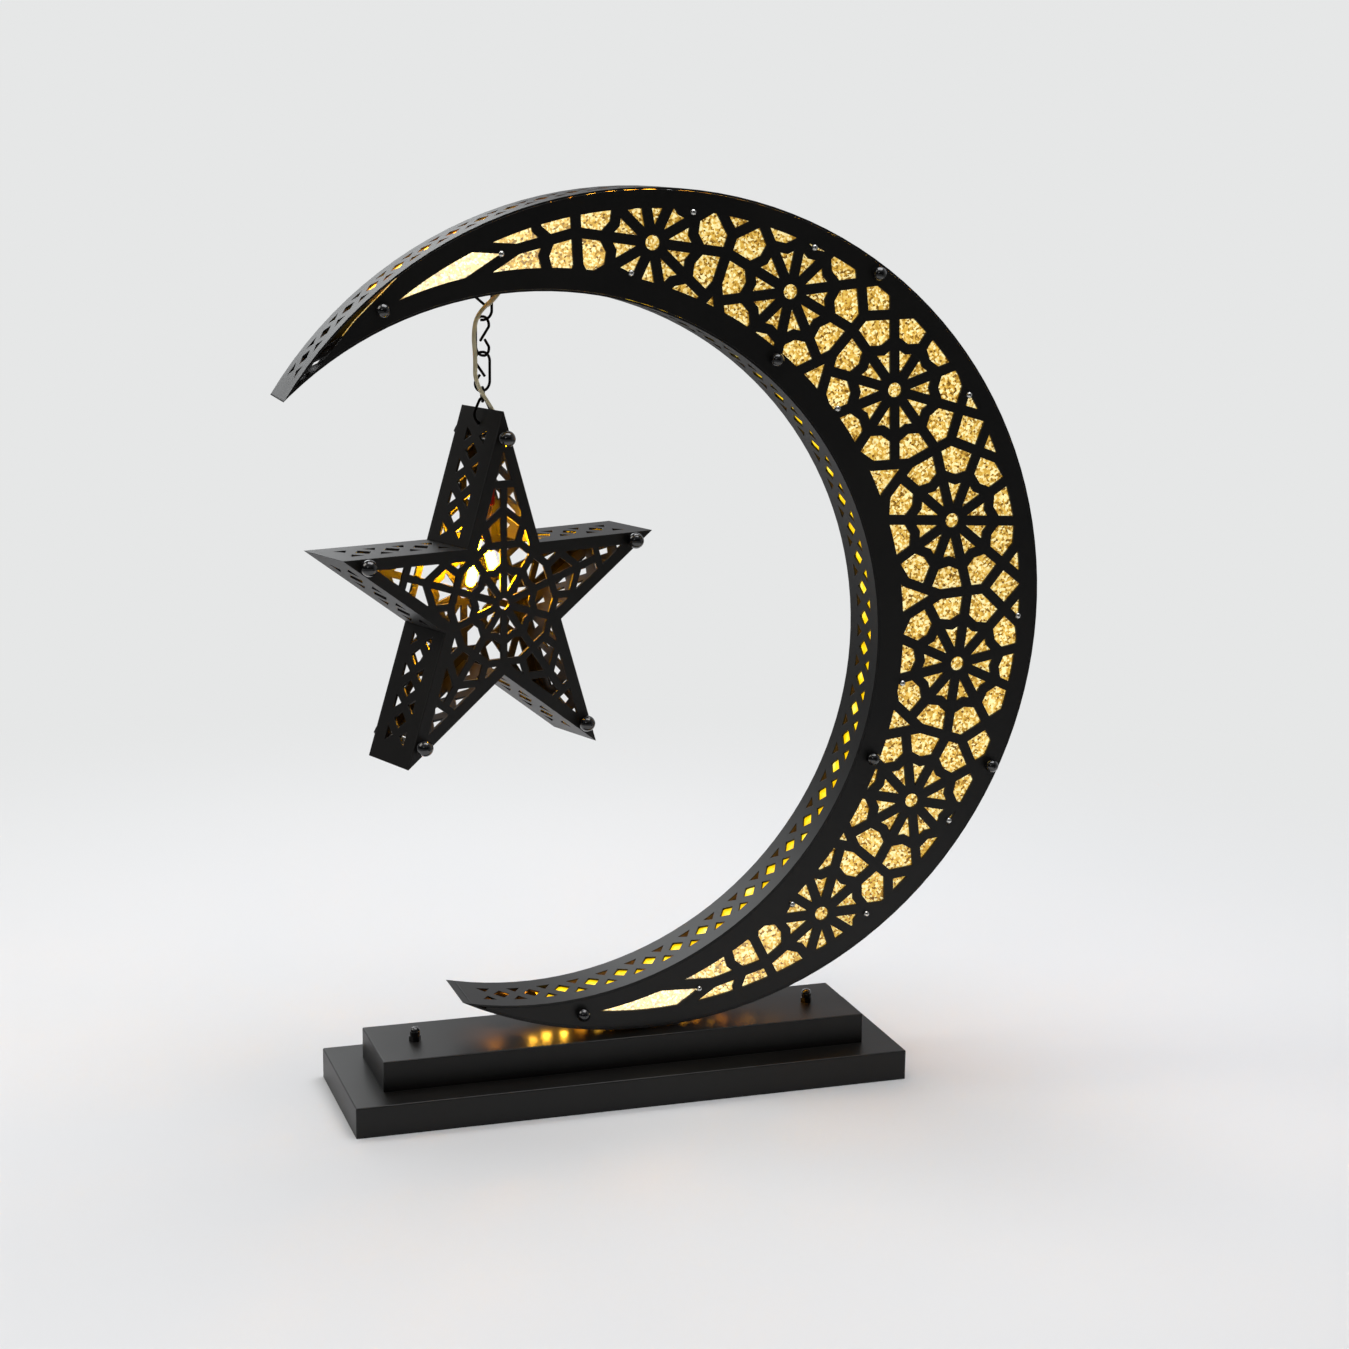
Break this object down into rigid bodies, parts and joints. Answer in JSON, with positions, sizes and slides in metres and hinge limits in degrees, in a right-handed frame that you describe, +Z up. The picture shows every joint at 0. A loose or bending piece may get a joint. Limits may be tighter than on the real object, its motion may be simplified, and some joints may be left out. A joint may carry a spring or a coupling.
{
  "type": "eid crescent ornament",
  "caption": "Pierced black sheet-steel crescent with an amber panel on a stepped base, with a pierced star lamp hung in its opening on a short chain.",
  "frame": {"origin": "on the floor under the middle of the stepped base", "axes": "+X to the right along the base, -Y to the front, +Z up"},
  "size_m": [0.4051, 0.0991, 0.4723],
  "materials": {
    "powder_black": "satin powder coat",
    "gloss_black": "gloss",
    "zinc": "zinc plated",
    "amber": "crackled, translucent",
    "strip_yellow": "matte, lit",
    "block_white": "matte",
    "bush_black": "matte",
    "link_wire": "darkened wire",
    "holder_cream": "matte",
    "lamp_glass": "clear, lit",
    "splice_red": "gloss",
    "flex_cream": "satin"
  },
  "bodies": {
    "stand": {"acorn_nuts": "gloss_black", "amber_panel": "amber", "back_plate": "powder_black", "back_screws": "gloss_black", "base_bolts": "zinc", "base_bottom": "powder_black", "base_lower_box": "powder_black", "base_upper_box": "powder_black", "flex_upper": "flex_cream", "foot_nuts": "zinc", "foot_screws": "zinc", "foot_washers": "zinc", "front_ball_screws": "gloss_black", "front_plate": "powder_black", "hanger_link": "link_wire", "inlet_bush": "bush_black", "inner_wall": "powder_black", "led_strip_inner": "strip_yellow", "led_strip_outer": "strip_yellow", "outer_wall": "powder_black", "panel_studs": "zinc", "plate_posts": "zinc", "terminal_block": "block_white", "wire_grommet": "bush_black"},
    "upper_link": {"chain_link_upper": "link_wire", "flex_middle": "flex_cream"},
    "lower_link": {"chain_link_lower": "link_wire", "flex_lower": "flex_cream"},
    "star": {"chain_ring": "link_wire", "star_hook": "link_wire", "star_front_plate": "powder_black", "star_back_plate": "powder_black", "star_side_walls": "powder_black", "star_tubes": "zinc", "star_ball_screws": "gloss_black", "star_nuts": "gloss_black", "lamp_holder": "holder_cream", "lamps": "lamp_glass", "lamp_bracket": "zinc", "wire_splice": "splice_red"}
  },
  "joints": [
    {"name": "chain_fore_swing", "type": "hinge", "parent": "stand", "child": "upper_link", "pos_m": [-0.0717, 0, 0.40646], "axis": [1, 0, 0], "range_deg": [-20, 20], "deforming": ["flex_upper"]},
    {"name": "chain_side_swing", "type": "hinge", "parent": "upper_link", "child": "lower_link", "pos_m": [-0.0717, 0, 0.38886], "axis": [-0.4695, 0.8829, 0], "range_deg": [-20, 20], "deforming": ["flex_middle"]},
    {"name": "star_twist", "type": "hinge", "parent": "lower_link", "child": "star", "pos_m": [-0.0717, 0, 0.37126], "axis": [0, 0, 1], "range_deg": [-12, 70], "deforming": ["flex_lower"]}
  ]
}
